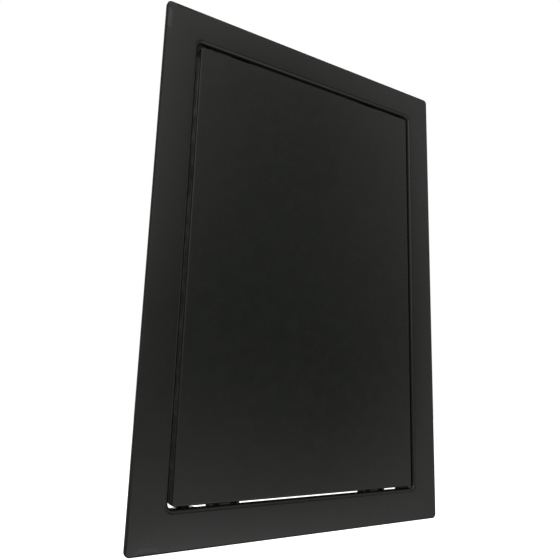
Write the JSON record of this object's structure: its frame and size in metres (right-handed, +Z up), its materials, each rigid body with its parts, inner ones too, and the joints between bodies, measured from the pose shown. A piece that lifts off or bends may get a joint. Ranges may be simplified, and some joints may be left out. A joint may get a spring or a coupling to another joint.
{
  "type": "access door",
  "caption": "Black moulded access door for a wall or duct casing: flanged frame with a deep collar, and a flush leaf hinged at its side, with sprung catches and a lift-out hinge pin.",
  "frame": {"origin": "middle of the wall opening, in the wall face that the flange rests on", "axes": "+Z up, +X to the right as seen from the room, +Y into the wall"},
  "size_m": [0.218, 0.028, 0.318],
  "materials": {
    "frame_plastic": "satin, fine moulded grain",
    "leaf_plastic": "satin, fine moulded grain",
    "catch_plastic": "smooth satin",
    "bolt_plastic": "smooth, waxy",
    "pin_steel": "turned, zinc plated",
    "spring_steel": "drawn wire"
  },
  "bodies": {
    "fixed_frame": {"frame": "frame_plastic", "catch_housing_upper": "catch_plastic", "catch_housing_lower": "catch_plastic", "catch_spring_upper": "spring_steel", "catch_spring_lower": "spring_steel"},
    "leaf": {"door_leaf": "leaf_plastic", "hinge_pin_lower": "pin_steel", "hinge_pin_spring": "spring_steel", "keeper_upper": "catch_plastic", "keeper_lower": "catch_plastic"},
    "lift_out_pin": {"hinge_pin_upper": "pin_steel", "hinge_pin_clip": "spring_steel"},
    "upper_bolt": {"catch_bolt_upper": "bolt_plastic"},
    "lower_bolt": {"catch_bolt_lower": "bolt_plastic"}
  },
  "joints": [
    {"name": "leaf_hinge", "type": "hinge", "parent": "fixed_frame", "child": "leaf", "pos_m": [-0.07735, 0.003, 0], "axis": [0, 0, -1], "range_deg": [0, 115]},
    {"name": "lift_out_pin_slide", "type": "slide", "parent": "leaf", "child": "lift_out_pin", "axis": [0, 0, -1], "range_m": [0, 0.0075], "stiffness_N_per_m": 150, "springref_m": -0.01, "deforming": ["hinge_pin_spring"]},
    {"name": "upper_bolt_slide", "type": "slide", "parent": "fixed_frame", "child": "upper_bolt", "axis": [1, 0, 0], "range_m": [0, 0.003], "stiffness_N_per_m": 300, "springref_m": -0.004, "deforming": ["catch_spring_upper"]},
    {"name": "lower_bolt_slide", "type": "slide", "parent": "fixed_frame", "child": "lower_bolt", "axis": [1, 0, 0], "range_m": [0, 0.003], "stiffness_N_per_m": 300, "springref_m": -0.004, "deforming": ["catch_spring_lower"]}
  ]
}
